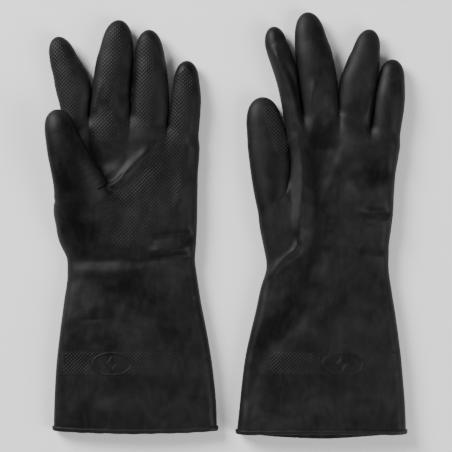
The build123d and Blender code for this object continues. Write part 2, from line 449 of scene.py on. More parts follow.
# Raised grip: how strong, and its outline.
LEFT_GRIPS = (
    # the palm, from the little finger's tip to a rounded end at the heel of the hand
    (1.5, ((36.8, 143.7), (42.2, 146.5), (46, 140.6), (46.4, 129), (45.2, 117.5), (43.3, 110), (41.4, 98),
         (40.5, 82), (38.5, 63), (33.5, 45), (25.5, 29.5), (14, 18.5), (2.8, 11.6), (-8, 11.2), (-17, 15.5),
         (-22.5, 26), (-23.2, 38), (-20.5, 48), (-12, 54), (1, 60), (6.5, 72), (13, 82), (22, 93),
         (26.4, 103.7), (28.7, 113.7), (31, 125), (33.3, 136.8))),
    (1, ((-60.1, 167.5), (-53.2, 168.3), (-47.8, 154.4), (-42.4, 143.7), (-38.6, 133), (-38.6, 113.7),
         (-42.4, 107.5), (-50.9, 107.5), (-54, 125), (-58.6, 144.5), (-61.7, 157.5))),
    (1, ((-16, 176), (-8.6, 180.5), (-3.5, 173), (-3.5, 160), (-6.5, 150), (-8, 133), (-9, 121), (-12, 116),
         (-14, 110), (-4, 106), (1, 101), (-3, 95.5), (-10, 92), (-20, 90.5), (-27, 92), (-29.5, 104),
         (-27.5, 112), (-24.5, 130), (-22.5, 147), (-19.5, 165))),
    (1, ((4.1, 161.4), (11.4, 171.5), (18.3, 167.5), (21.4, 152), (20, 137), (16.8, 125), (16, 110),
         (14.5, 102), (2, 101.5), (-1, 105), (3.3, 113), (2.6, 140))),
    # the band round the cuff, in two lengths
    (1.4, ((-54.5, -66), (36, -66), (38.6, -70), (38.6, -79), (36, -83), (-54.5, -83))),
    (1.4, ((51.5, -66), (66, -66), (66, -83), (51.5, -83))),
)
LEFT_THUMB_GRIPS = ((0.45, ((-52, 108), (-43, 102), (-38, 92), (-33, 80), (-30, 72), (-40, 74), (-47, 88),)),)
RIGHT_GRIPS = (
    (1.4, ((-41.5, -66), (62, -66), (62, -82.6), (-41.5, -82.6), (-43, -78), (-43, -70))),
    (0.5, ((44, 141), (48, 149), (54, 146), (55.5, 136), (50, 131))),
)
RIGHT_THUMB_GRIPS = (
    (2.2, ((-46.7, 116.8), (-42.5, 118.8), (-38.7, 115.5), (-35, 108), (-32, 99.9), (-29.6, 92), (-29, 86.9),
           (-31, 82), (-33, 78.4), (-35.6, 79.9), (-40, 86.9), (-42.1, 93.8), (-44.8, 103.8),
           (-46.7, 111.5))),
)
LEFT_FOLDS = (
    # the web between thumb and palm: a ridge above a hollow, and a soft valley behind it
    (2.4, 2.4, ((-31, 58.5), (-22, 57), (-14, 58.6), (-8, 62.6), (-2, 69.6)), 0.25),
    (1.7, 3.6, ((-10, 61), (-3, 68.5), (4, 76), (11, 82.6), (19, 87)), 0.3),
    (-1.0, 5.5, ((-8, 52), (2, 60), (9, 70), (17, 79)), 0.35),
    (-3.0, 8.0, ((-38, 102), (-31, 88), (-24, 76), (-17, 66)), 0.25),
    (-1.0, 9.0, ((-26, 74), (-14, 79), (-2, 87)), 0.4),
    # the crease and the ridges across the wrist
    (-2.5, 4.2, ((6, 15.5), (18, 18.5), (30, 20.5), (40, 21.5), (52, 22)), 0.25),
    (1.7, 3.8, ((8, 8), (25, 10), (37, 11.5), (52, 13.5)), 0.3),
    (-1.1, 3.6, ((-50, 3.5), (-25, 2.2), (-2, 3.5)), 0.3),
    (-1.0, 2.2, ((-12, 5), (4, 1), (20, 3), (50, 6.5)), 0.25),
    (1.4, 5.0, ((-48, -6), (-20, -6), (15, -5), (48, -3)), 0.15),
    # the outer edge of the hand
    (1.6, 5, ((41, 72), (38, 52), (33, 33)), 0.4),
    (-0.8, 3, ((46.5, 92), (46.5, 70), (46, 50)), 0.3),
    # the cuff
    (-0.3, 1.6, ((-49, -42.5), (-30, -41.5), (-8, -40)), 0.4),
    (1.0, 9, ((-46, -12), (-43, -30), (-44, -50)), 0.3),
    (-1.3, 9, ((-30, -19), (0, -22), (34, -20)), 0.35),
    (1.0, 8, ((-36, -32), (-12, -34)), 0.4),
    (0.9, 9, ((-12, -40), (0, -49), (12, -60)), 0.5),
    (-1.0, 7, ((20, -35), (26, -46), (34, -56)), 0.4),
    (-0.9, 7, ((-54, -78), (-50, -97), (-45, -118)), 0.45),
    (0.7, 7, ((-34, -104), (0, -108), (34, -102)), 0.3),
    (-0.4, 1.6, ((36, -28), (52, -26.5)), 0.3),
)
RIGHT_FOLDS = (
    # the long edge of the back, from the index finger down to the wrist, then out to the thumb's side
    (2.4, 5.0, ((-22.8, 109), (-21.2, 94), (-19.6, 77), (-18.9, 60), (-20, 44), (-21.6, 28), (-22.4, 16)),
     0.12),
    (2.7, 3.3, ((-21.4, 24), (-23.5, 12), (-31.5, 4.6), (-40, -4), (-48, -15)), 0.25),
    (-0.9, 3.6, ((-28, 70), (-27.5, 50), (-29, 30), (-31, 14)), 0.3),
    (0.6, 4.0, ((-33, 66), (-32, 52), (-33.5, 32), (-35, 18)), 0.35),
    (-3.0, 10, ((-8, 102), (-7, 70), (-7, 40), (-9, 8), (-18, -14)), 0.15),
    (-0.8, 8, ((-31, -6), (-38, -16), (-44, -30)), 0.4),
    # creases on the little finger's side
    (1.2, 9, ((8, 90), (11, 76), (18, 62)), 0.45),
    (-1.5, 6, ((14, 72), (30, 70), (52, 70)), 0.3),
    (1.4, 7, ((8, 56), (26, 56), (48, 57)), 0.3),
    (-2.2, 4.0, ((18, 40), (34, 38), (54, 38.5)), 0.4),
    (1.8, 3.6, ((26, 30), (38, 31), (54, 35)), 0.4),
    (0.9, 3.0, ((2, 9), (22, 7), (48, 4.6)), 0.3),
    (-1.0, 4.0, ((4, 15), (22, 13.5), (46, 11)), 0.3),
    # the cuff
    (-1.6, 8, ((-10, -27), (-30, -47), (-50, -68), (-57, -92), (-61, -116)), 0.15),
    (0.8, 6, ((-22, -28), (-34, -44), (-47, -60)), 0.3),
    (-0.5, 3.4, ((10.5, -52), (10.5, -60), (10.8, -64)), 0.4),
    (-0.5, 5, ((-4, -92), (8, -98), (16, -90)), 0.4),
    (0.9, 8, ((-20, -104), (10, -106), (34, -100)), 0.3),
)
# Folds that run over the fingers and their roots.
LEFT_FINGER_FOLDS = (
    (-2.2, 5.0, ((0, 160), (-3, 142), (-5, 126), (-6, 112)), 0.35),
    (1.2, 3.0, ((-30.2, 107), (-28, 117), (-24.5, 129), (-21, 140)), 0.35),
    (-1.1, 4.0, ((-22, 124), (-17, 115), (-11, 110)), 0.4),
    (1.2, 4.4, ((-35, 141), (-33.8, 131), (-34.5, 120)), 0.4),
    (0.9, 2.6, ((45.8, 118), (45, 106), (44, 95), (43.5, 80)), 0.3),
)
RIGHT_FINGER_FOLDS = (
    (2.7, 3.6, ((-41, 164), (-34.7, 144.4), (-28.6, 130.5), (-25.5, 121.3), (-23.2, 109.8), (-22, 97)), 0.14),
    (-1.2, 2.2, ((-33, 152), (-27, 139), (-23, 124), (-20.5, 110)), 0.25),
    (1.2, 3.2, ((-8.6, 142), (-11.4, 128), (-13, 116), (-13.6, 109)), 0.45),
    (0.9, 4.0, ((-1, 131), (2.4, 121), (3.7, 110)), 0.4),
    (-1.3, 4.8, ((-4, 134), (-4.5, 118), (-4, 96)), 0.3),
    (1.4, 2.6, ((34.5, 133), (32.4, 124), (30.4, 114), (29.6, 107)), 0.35),
    (-1.4, 5.5, ((14, 120), (19, 111), (25, 104), (31, 99)), 0.4),
    (0.9, 6.0, ((9.5, 113), (12, 100), (16, 88), (22, 78)), 0.4),
)
# Patches of lighter (or, with a negative height, darker) colour on the rubber. Most are painted light:
# painted highlights along ridges and finger tops, painted shade in creases, valleys, under the left thumb and
# on finger sides turned from the light. A few lighter ones on the cuffs are dust.
LEFT_PAINTED_LIGHT_AND_DUST = (
    (0.22, 7, ((43, 66), (43, 45), (41, 22)), 0.3),
    (0.08, 9, ((-46, -9), (-30, -11), (-8, -9)), 0.3),
    (0.13, 10, ((-44, -16), (-40, -34), (-44, -56)), 0.3),
    (0.1, 8, ((22, -8), (38, -12), (46, -22)), 0.4),
    (0.1, 12, ((-10, -44), (6, -54), (16, -60)), 0.4),
    (-0.14, 10, ((-24, -22), (6, -25), (34, -20)), 0.3),
    (-0.12, 9, ((22, -34), (30, -46), (34, -60)), 0.4),
    (0.08, 12, ((-36, -100), (0, -108), (44, -100)), 0.3),
    (-0.2, 16, ((-52, 112), (-46, 70), (-40, 10)), 0.15),
    (-0.14, 10, ((-4, 150), (-4, 120)), 0.3),
    (-0.18, 9, ((-24, 66), (-10, 70), (4, 80)), 0.3),
)
RIGHT_PAINTED_LIGHT_AND_DUST = (
    (-0.26, 11, ((-6, 116), (-6, 60), (-9, 10), (-24, -24), (-46, -54), (-58, -80)), 0.12),
    (0.16, 9, ((10, 104), (15, 90), (22, 82)), 0.35),
    (0.16, 9, ((10, 50), (28, 54), (48, 52)), 0.3),
    (0.14, 9, ((12, 22), (30, 26), (46, 18)), 0.35),
    (-0.14, 8, ((20, 71), (50, 69)), 0.3),
    (0.2, 5, ((-34, 140), (-28, 118), (-25, 95), (-24, 60), (-26, 20)), 0.15),
    (0.14, 9, ((28, 148), (24, 134), (22, 118)), 0.4),
    (-0.12, 12, ((-12, 182), (-8, 150)), 0.3),
    (0.1, 12, ((-4, -52), (20, -48), (44, -52)), 0.35),
    (0.1, 10, ((-24, -102), (10, -106), (40, -98)), 0.35),
)


def digit_tables(side):
    """Every digit of a glove: where its root starts, its widths, tops and undersides, and its blend."""
    if side == "left":
        return (
            Digit(side, "thumb", (
                (26, -52.6, -20, 17.5, 1), (40, -55.8, -15, 23.5, 3), (52, -57.2, -15.5, 28.5, 8),
                (60, -58.3, -18.5, 31.5, 12), (68, -59.6, -22.8, 34, 16), (77, -61.2, -28.4, 35.4, 18.6),
                (88, -62.7, -33.8, 35.6, 19.2), (97, -63.8, -38.4, 34.6, 18.4)), (-55.6, 114.4), 12),
            Digit(side, "index", (
                (86, -49.4, -34), (97, -51, -33), (106, -52, -32.6), (113, -52.8, -32), (121, -54.1, -30.6),
                (128, -55.8, -29.6), (136, -57.8, -30), (143.6, -60, -33.4), (151, -62, -38)),
                (-55.8, 170.2), 8, (12, 15.6, 17, 15.5)),
            Digit(side, "middle", (
                (86, -27, -5), (97, -29.5, -3), (108, -31, -1), (115, -30.8, -0.5), (125, -29.8, 0),
                (136, -28.6, 1), (143.6, -27.7, 1.7), (151, -26.4, 2.2), (158.6, -24.2, 2)),
                (-8.8, 182.8), 8, (12, 15.8, 17.8, 16)),
            Digit(side, "ring", (
                (86, 2, 22), (97, 0, 25), (108, -0.6, 27.6), (115, -0.2, 28.4), (125, 0.3, 28.4),
                (136, 1, 27.8), (143.6, 1.4, 27), (154, 2.3, 25.3)), (13, 175.5), 8, (12, 15.8, 17.4, 16)),
            Digit(side, "little", (
                (84, 29, 47.8), (97, 27.6, 50.4), (105, 27.9, 51.2), (115, 29, 52), (125, 30.2, 52.4),
                (136, 31.5, 51.2)), (42, 152.3), 8, (12, 15.6, 16.4, 14.5)),
        )
    return (
        Digit(side, "thumb", (
            (22, -47.4, -28, 17.4, 0.5), (34, -50.8, -28, 18, 0), (45, -53.6, -29, 18.4, -0.4),
            (60, -56.3, -28.5, 18.6, -0.4), (70, -57.7, -28, 18.6, -0.4), (80, -58.9, -28, 18.4, -0.4),
            (88, -59.8, -28.4, 18, -0.4), (96, -60.5, -30.4, 17.4, -0.4), (106, -61.2, -33.6, 16.6, 0)),
            (-49.4, 124.9), 8),
        Digit(side, "index", (
            (86, -29, -18), (97, -31, -18), (110, -32.8, -19), (121, -34.8, -19.8), (128.6, -36.3, -20.6),
            (136, -38, -21.4), (143.6, -40.1, -22.2), (151, -42.9, -24), (158.6, -45.8, -26.8),
            (164.6, -47.4, -29.4)),
            (-40.4, 177.9), 8, (13, 16.4, 17.6, 15)),
        Digit(side, "middle", (
            (86, -15, 6), (97, -17.6, 8.4), (106, -18.6, 8.8), (115, -19.4, 8.8), (125, -20.4, 8.4),
            (136, -21.8, 7.6), (143.6, -22.6, 6.6), (151, -23.6, 5.2), (158.6, -24.5, 3.4), (166, -25, 0.6)),
            (-15.2, 188.7), 8, (13, 16.2, 17.6, 15.5)),
        Digit(side, "ring", (
            (86, 11, 28), (97, 9.4, 32), (106, 8.8, 33), (115, 8.4, 34), (125, 8.2, 35.6), (136, 8.6, 37.6),
            (143.6, 11.8, 39), (151, 14.6, 39.8), (156, 17, 40)), (32.6, 175.8), 8, (13, 16, 17, 15)),
        Digit(side, "little", (
            (84, 33, 51), (97, 32.6, 54.6), (105, 33, 55.7), (115, 33.8, 57.4), (125, 35.2, 58.3),
            (138, 38, 58.2)), (49.5, 153.3), 8, (13, 15.8, 16.6, 14.5)),
    )


def make_shapes():
    left = Glove("left", LEFT_ROWS, LEFT_ENDS, digit_tables("left"), LEFT_FOLDS, LEFT_FINGER_FOLDS,
                 LEFT_GRIPS, LEFT_THUMB_GRIPS, ((-14.1, -74.6), (14.6, 8.2)), (1.6, 0.4), LEFT_PAINTED_LIGHT_AND_DUST)
    right = Glove("right", RIGHT_ROWS, RIGHT_ENDS, digit_tables("right"), RIGHT_FOLDS, RIGHT_FINGER_FOLDS,
                  RIGHT_GRIPS, RIGHT_THUMB_GRIPS, ((10.1, -74.3), (14.8, 8.2)), (-0.6, 3.9), RIGHT_PAINTED_LIGHT_AND_DUST)
    return left, right


# ---------------------------------------------------------------- meshing
def cast(origins, directions, field, reach, level=0.0):
    """Where rays from inside the shape leave it."""
    low, high = np.zeros(len(origins)), np.full(len(origins), float(reach))
    inner, outer = np.full(len(origins), -1.0), np.full(len(origins), 1.0)
    for _ in range(11):
        middle = (low + high) / 2
        value = field(origins + middle[:, None] * directions) + level
        inside = value < 0
        low, high = np.where(inside, middle, low), np.where(inside, high, middle)
        inner, outer = np.where(inside, value, inner), np.where(inside, outer, value)
    share = inner / (inner - outer)
    return origins + (low + (high - low) * share)[:, None] * directions


def gradient(field, p, step=0.2):
    """The field's slope at each point."""
    columns = []
    for axis in range(3):
        shift = np.zeros(3)
        shift[axis] = step
        columns.append((field(p + shift) - field(p - shift)) / (2 * step))
    return np.stack(columns, axis=1)


def settle(field, p, times=4, free=(1, 1, 1)):
    """Move points onto the shape's skin, along the free axes."""
    for _ in range(times):
        slope = gradient(field, p) * np.array(free)
        size = np.maximum(np.sum(slope ** 2, axis=1), 0.15)
        p = p - np.clip(field(p) / size, -1.5, 1.5)[:, None] * slope
    return p


def directions_out(field, p):
    """The skin's own normals, from the shape's field."""
    return unit(gradient(field, p, 0.35))


def grid_faces(rows, columns, closed=True):
    """Quads between the rows of a grid of points, its rows closed into rings or not."""
    i, j = np.meshgrid(np.arange(rows - 1), np.arange(columns if closed else columns - 1), indexing="ij")
    i, j = i.ravel(), j.ravel()
    k = (j + 1) % columns
    return np.stack([i * columns + j, i * columns + k, (i + 1) * columns + k, (i + 1) * columns + j], axis=1)


def vertex_normals(points, faces):
    """Area-weighted normals. A triangle's last corner is repeated."""
    a, b, c, d = (points[faces[:, i]] for i in range(4))
    face = np.cross(c - a, d - b)
    total = np.zeros_like(points)
    for i in range(4):
        np.add.at(total, faces[:, i], face)
    return total / np.maximum(np.linalg.norm(total, axis=1, keepdims=True), 1e-12)


def surface_net(field, low, high, step):
    """Quads over the shape's skin, from a grid of samples."""
    axes = [np.arange(a, b + step, step) for a, b in zip(low, high)]
    grid = np.stack(np.meshgrid(*axes, indexing="ij"), axis=-1)
    shape = grid.shape[:3]
    blocks = np.array_split(grid.reshape(-1, 3), 24)
    values = np.concatenate([field(block) for block in blocks]).reshape(shape)
    inside = values < 0
    cells = tuple(n - 1 for n in shape)
    total, count = np.zeros((*cells, 3)), np.zeros(cells)
    corners = [(i, j, k) for i in (0, 1) for j in (0, 1) for k in (0, 1)]

    def part(array, corner):
        return array[tuple(slice(c, c + n) for c, n in zip(corner, cells))]

    for a in corners:
        for axis in range(3):
            if a[axis]:
                continue
            b = tuple(c + (1 if i == axis else 0) for i, c in enumerate(a))
            va, vb = part(values, a), part(values, b)
            crossed = part(inside, a) != part(inside, b)
            t = np.where(crossed, va / np.where(crossed, va - vb, 1), 0)
            spot = np.zeros((*cells, 3))
            spot[:] = a
            spot[..., axis] += t
            total += spot * crossed[..., None]
            count += crossed
    used = count > 0
    number = np.full(cells, -1)
    number[used] = np.arange(used.sum())
    index = np.stack(np.nonzero(used), axis=1)
    points = np.array(low, float) + step * (index + total[used] / count[used][:, None])
    faces = []
    for axis in range(3):
        first, second = [i for i in range(3) if i != axis]
        head, tail = [slice(None)] * 3, [slice(None)] * 3
        head[axis], tail[axis] = slice(0, -1), slice(1, None)
        outward = inside[tuple(head)]
        where = np.stack(np.nonzero(outward != inside[tuple(tail)]), axis=1)
        where = where[(where[:, first] > 0) & (where[:, second] > 0)
                      & (where[:, first] < shape[first] - 1) & (where[:, second] < shape[second] - 1)]
        flip = outward[tuple(where.T)] == (axis == 1)
        quad = []
        for du, dv in ((-1, -1), (0, -1), (0, 0), (-1, 0)):
            cell = where.copy()
            cell[:, first] += du
            cell[:, second] += dv
            quad.append(number[tuple(cell.T)])
        quad = np.stack(quad, axis=1)
        quad[flip] = quad[flip][:, ::-1]
        faces.append(quad)
    return points, np.concatenate(faces)


def drop_unused(points, faces):
    """Keep only the points that faces use."""
    used = np.unique(faces)
    number = np.full(len(points), -1)
    number[used] = np.arange(len(used))
    return points[used], number[faces]


def border_of(faces):
    """Which points lie on an open edge."""
    edges = np.concatenate([faces[:, [i, (i + 1) % 4]] for i in range(4)])
    edges = np.sort(edges[edges[:, 0] != edges[:, 1]], axis=1)
    pairs, counts = np.unique(edges, axis=0, return_counts=True)
    return np.unique(pairs[counts == 1])


def relax(points, faces, held, times):
    """Even out the points' spacing, the held ones staying."""
    edges = np.concatenate([faces[:, [i, (i + 1) % 4]] for i in range(4)])
    for _ in range(times):
        total, count = np.zeros_like(points), np.zeros(len(points))
        for a, b in ((0, 1), (1, 0)):
            np.add.at(total, edges[:, a], points[edges[:, b]])
            np.add.at(count, edges[:, a], 1)
        mean = total / np.maximum(count, 1)[:, None]
        points = np.where(held[:, None], points, points * 0.5 + mean * 0.5)
    return points


def refine(points, faces, chosen):
    """Split each chosen quad into four, and its neighbours to match."""
    mesh = bpy.data.meshes.new("refine")
    mesh.from_pydata(points.tolist(), [], faces.tolist())
    work = bmesh.new()
    work.from_mesh(mesh)
    work.faces.ensure_lookup_table()
    edges = {edge for i in np.nonzero(chosen)[0] for edge in work.faces[i].edges}
    bmesh.ops.subdivide_edges(work, edges=list(edges), cuts=1, use_grid_fill=True)
    bmesh.ops.triangulate(work, faces=[face for face in work.faces if len(face.verts) > 4])
    points = np.array([vert.co for vert in work.verts])
    faces = np.array([[v.index for v in face.verts] + [face.verts[-1].index] * (4 - len(face.verts))
                      for face in work.faces])
    work.free()
    bpy.data.meshes.remove(mesh)
    return points, faces


def add_object(name, data, location=(0, 0, 0)):
    """A new object in the scene."""
    thing = bpy.data.objects.new(name, data)
    thing.location = location
    bpy.context.scene.collection.objects.link(thing)
    return thing


def make_object(name, points, faces, normals, material, bloom):
    """A Blender mesh object from points in millimetres, with its own vertex normals and an attribute of dust
    and painted light and shade for its colour.
    """
    mesh = bpy.data.meshes.new(name)
    quads = [list(dict.fromkeys(face)) for face in faces.tolist()]
    mesh.from_pydata((points * MM).tolist(), [], quads)
    mesh.polygons.foreach_set("use_smooth", np.ones(len(mesh.polygons), bool))
    mesh.normals_split_custom_set_from_vertices(normals.tolist())
    mesh.attributes.new("bloom", "FLOAT", "POINT").data.foreach_set("value", bloom)
    mesh.materials.append(material)
    return add_object(name, mesh)


# ---------------------------------------------------------------- the pieces
def relief_on(glove, points, faces, smooth_normals, digit=None):
    """The skin with its relief, and its normals: the smooth skin's, turned as the relief turns the mesh."""
    plain_normals = vertex_normals(points, faces)
    raised = points + smooth_normals * glove.grip(points, smooth_normals, digit)[:, None]
    return raised, unit(smooth_normals + vertex_normals(raised, faces) - plain_normals)


def finish_piece(glove, name, points, faces, normals, material, slot_name="shell_rubber"):
    """Make one piece of a glove's skin."""
    # Lighter and darker patches for the colour: painted highlights and painted shade along folds, and some
    # dust.
    bloom = sum(patch.at(points[:, 0], points[:, 1]) for patch in glove.bloom)
    piece = make_object(f"{glove.side}_{name}", points + glove.origin, faces, normals, material, bloom)
    return piece


def split_rings(points, faces, normals, columns, start, stop):
    """The rows start to stop of a ringed grid."""
    low, high = start * columns, (stop + 1) * columns
    kept = faces[np.all((faces >= low) & (faces < high), axis=1)] - low
    return points[low:high], kept, normals[low:high]


def sharpen(digit, points, field, corner_field, level, tube, angles):
    """Turn the rays next to the edges where a finger's share ends, so that rings have a point on each."""
    count = len(angles)
    rows = int(np.searchsorted(tube, digit.start + EDGE_REACH))
    on_share = np.abs(corner_field(points[:rows * count]) + level).reshape(rows, count) < ON_SHARE
    row, column = np.nonzero(on_share != np.roll(on_share, -1, axis=1))
    if not len(row):
        return points
    centre, _, side, up = digit.ring_frame(tube[row])
    turn = np.append(angles, angles[0] + 2 * math.pi)
    low, high = turn[column], turn[column + 1]
    for _ in range(7):
        middle = (low + high) / 2
        spread = round_spread(middle, side, up)
        spot = cast(centre, spread, field, CAST_REACH, level)
        same = (np.abs(corner_field(spot) + level) < ON_SHARE) == on_share[row, column]
        low, high = np.where(same, middle, low), np.where(same, high, middle)
    later = middle - turn[column] > turn[column + 1] - middle
    points[row * count + (column + later) % count] = spot
    return points


def digit_grid(digit, field, level, along_step, angles, corner_field=None):
    """Rings of points along a digit from its start to its rounded end, then one at the very tip."""
    tube = np.linspace(digit.start, digit.length, max(int((digit.length - digit.start) / along_step), 6) + 1)
    dome = np.linspace(90, 0, max(int(digit.dome * 1.35 / along_step), 5) + 1)[1:-1]
    origins, directions = [], []
    for s in tube:
        centre, forward, side, up = digit.ring_frame(np.array([s]))
        spread = round_spread(angles, side, up)
        origins.append(np.repeat(centre, len(angles), axis=0))
        directions.append(spread)
    for polar in np.radians(dome):
        spread_dome = math.sin(polar) * spread + math.cos(polar) * forward
        origins.append(np.repeat(centre, len(angles), axis=0))
        directions.append(unit(spread_dome))
    origins.append(centre)
    directions.append(forward)
    points = cast(np.concatenate(origins), np.concatenate(directions), field, CAST_REACH, level)
    if corner_field is not None:
        points = sharpen(digit, points, field, corner_field, level, tube, angles)
    rings = len(tube) + len(dome)
    faces = grid_faces(rings, len(angles))
    last, tip = (rings - 1) * len(angles), rings * len(angles)
    j = np.arange(len(angles))
    fan = np.stack([last + j, last + (j + 1) % len(angles), *[np.full(len(j), tip)] * 2], axis=1)
    stations = np.concatenate([tube, np.full(len(dome), digit.length)])
    return points, np.concatenate([faces, fan])[:, ::-1], stations


def around(top_count, bottom_count):
    """Angles round a section, closer together over its top."""
    top = np.linspace(0, math.pi, top_count, endpoint=False)
    bottom = np.linspace(math.pi, 2 * math.pi, bottom_count, endpoint=False)
    return np.concatenate([top, bottom])


def make_digit(glove, digit, material):
    """A digit's skin, in two pieces that meet halfway between its root joint and its knuckle."""
    field = glove.alone(digit)
    grips = glove.thumb_grips if digit.is_thumb else glove.grips
    end_u, end_v, _ = digit.point(digit.length * 0.9)
    textured = any(inside_outline(end_u, end_v, np.array(outline, float), 6) > 0 for _, outline in grips) \
        or (digit.is_thumb and bool(grips))
    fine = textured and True
    angles = around(96, 20) if fine else around(44, 22)
    corner_field = None if digit.is_thumb else glove.half_way(digit)
    points, faces, stations = digit_grid(digit, field, 0, 0.45 if fine else 1.1, angles, corner_field)
    skin_normals = directions_out(field, points)
    if not digit.is_thumb:
        on_skin = np.abs(glove.trunk(points, glove.fingers)) < 0.2
        skin_normals[on_skin] = directions_out(
            lambda p: np.maximum(glove.trunk(p, glove.fingers), -p[:, 2]), points[on_skin])
    points, normals = relief_on(glove, points, faces, skin_normals, digit)
    inner_angles = around(14, 10)
    inner, inner_faces, inner_stations = digit_grid(digit, field, WALL, 3.0, inner_angles)
    inner_faces = inner_faces[:, ::-1]
    inner_normals = vertex_normals(inner, inner_faces)
    middle = (digit.root_at + digit.knuckle_at) / 2
    name = f"{glove.side}_{digit.name}"
    base, tip = f"{name}_base", f"{name}_tip"

    def two_parts(points, faces, normals, stations, columns):
        cut = nearest_row(stations, middle)
        lower = split_rings(points, faces, normals, columns, 0, cut)
        keep = cut * columns
        upper = (points[keep:], faces[np.all(faces >= keep, axis=1)] - keep, normals[keep:])
        return lower, upper

    outer = two_parts(points, faces, normals, stations, len(angles))
    lining = two_parts(inner, inner_faces, inner_normals, inner_stations, len(inner_angles))
    root_piece, tip_piece = (
        finish_piece(glove, f"{digit.name}_{part}_skin", *join(skin, inside), material)
        for part, skin, inside in zip(("root", "tip"), outer, lining))
    bend(root_piece)
    bend(tip_piece)
    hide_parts(base)
    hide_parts(tip)


def join(first, second):
    """Two meshes in one."""
    points = np.concatenate([first[0], second[0]])
    faces = np.concatenate([first[1], second[1] + len(first[0])])
    return points, faces, np.concatenate([first[2], second[2]])


def bend(piece):
    """Bake a piece's placement into its mesh."""
    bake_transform(piece)


def start_ring(glove, digit, count=720):
    """The closed line where a digit's own skin starts."""
    angles = np.linspace(0, 2 * math.pi, count, endpoint=False)
    centre, forward, side, up = digit.ring_frame(np.array([digit.start]))
    spread = round_spread(angles, side, up)
    line = cast(np.repeat(centre, count, axis=0), spread, glove.alone(digit), CAST_REACH)
    return line, centre[0], forward[0]


def snap(points, chosen, spots, reach):
    """Move the chosen points to the nearest spots within reach, and say which moved."""
    moved = np.zeros(len(points), bool)
    for block in np.array_split(chosen, max(len(chosen) // 200, 1)):
        gap = np.linalg.norm(points[block][:, None, :] - spots[None], axis=2)
        close = gap.min(axis=1) < reach
        points[block[close]] = spots[gap.argmin(axis=1)[close]]
        moved[block[close]] = True
    return moved


def near_thumb(glove, spots, centre, reach, depth):
    """Which spots are within reach of a centre and inside the thumb, or not further out than depth."""
    return (np.linalg.norm(spots - centre, axis=1) < reach) & (glove.thumb.distance(spots)[0] < depth)


def open_ends(glove, points, faces, wrist_line, step):
    """Take away what lies past the wrist, the fingers' start and the thumb's, and set the open edges on the
    lines where the other skins start."""
    centres = points[faces].mean(axis=1)
    keep = (centres[:, 1] > WRIST_REACH + step * 0.45) & (centres[:, 1] < FINGERS_V - step * 0.45)
    line, centre, forward = start_ring(glove, glove.thumb)
    reach = np.linalg.norm(line - centre, axis=1).max() + 3
    ahead = (centres - centre) @ forward
    keep &= ~(near_thumb(glove, centres, centre, reach, 0.8) & (ahead > -step * 0.45) & (ahead < step * 0.9))
    points, faces = drop_unused(points, faces[keep])
    edge = border_of(faces)
    held = snap(points, edge, np.concatenate([line, wrist_line]), SNAP_REACH)
    ends = edge[np.abs(points[edge, 1] - FINGERS_V) < 1.5 * step]
    points[ends, 1] = FINGERS_V
    points[ends] = settle(glove.hand, points[ends], 5, (1, 0, 1))
    held[ends] = True
    return points, faces, held


def make_hand(glove, material, wrist_line):
    """The hand, from the wrist to where the digits' own skins start."""
    thumb = glove.thumb.point(glove.thumb.start)
    tall = max(22, thumb[2] + glove.thumb.half_height(glove.thumb.start) + 4)
    left = min(glove.left(np.linspace(10, 100, 19)).min(), thumb[0] - 26) - 6
    low = np.array([left, WRIST_REACH - 2.3, -2.4])
    high = np.array([glove.right(FINGERS_V) + 6, FINGERS_V + 3, tall])
    step = GRID_STEP
    points, faces = surface_net(glove.hand, low, high, step)
    points, faces, held = open_ends(glove, points, faces, wrist_line, step)
    for _ in range(3):
        points = relax(points, faces, held, 2)
        points[~held] = settle(glove.hand, points[~held], 2)
    centres = points[faces].mean(axis=1)
    a, b, c, d = (points[faces[:, i]] for i in range(4))
    chosen = np.zeros(len(faces), bool)
    for _, outline in glove.grips:
        chosen |= inside_outline(centres[:, 0], centres[:, 1], np.array(outline, float), 2.5) > 0
    chosen &= np.cross(c - a, d - b)[:, 2] > 0
    if chosen.any():
        points, faces = refine(points, faces, chosen)
        free = np.ones(len(points), bool)
        free[border_of(faces)] = False
        points[free] = settle(glove.hand, points[free], 2)
    skin_normals = directions_out(lambda p: glove.hand(p, whole=True), points)
    covered = glove.hand(points, whole=True) < -COVERED
    if covered.any():
        skin_normals[covered] = directions_out(glove.hand, points[covered])
    points, normals = relief_on(glove, points, faces, skin_normals)
    points, faces, normals = join((points, faces, normals), hand_lining(glove, low, high))
    piece = finish_piece(glove, "hand_skin", points, faces, normals, material)
    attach(piece, f"{glove.side}_hand")
    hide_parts(f"{glove.side}_hand")


def hand_lining(glove, low, high):
    """The hollow inside of the hand, on a coarse grid."""
    points, faces = surface_net(lambda p: glove.hand(p) + WALL, low, high, INNER_STEP)
    centres = points[faces].mean(axis=1)
    keep = (centres[:, 1] > WRIST_REACH + INNER_STEP / 2) & (centres[:, 1] < FINGERS_V - INNER_STEP / 2)
    _, centre, forward = start_ring(glove, glove.thumb, 8)
    keep &= ~(near_thumb(glove, centres, centre, 24, 0.9 - WALL)
              & ((centres - centre) @ forward > -WALL - INNER_STEP / 2))
    points, faces = drop_unused(points, faces[keep])
    faces = faces[:, ::-1]
    return points, faces, vertex_normals(points, faces)


def gauntlet_columns(top_count, bottom_count, fan_count):
    """How a ring of the gauntlet is laid out: over the top, round one edge, under, and round the other.
    Each column has a share across, from -1 to 1, and the direction that it faces."""
    fan = np.linspace(90, -90, fan_count + 2)[1:-1]
    shares = [np.linspace(-1, 1, top_count), np.ones(fan_count), np.linspace(1, -1, bottom_count),
              -np.ones(fan_count)]
    turns = [np.full(top_count, 90.0), fan, np.full(bottom_count, -90.0), fan - 180]
    return np.concatenate(shares), np.radians(np.concatenate(turns))


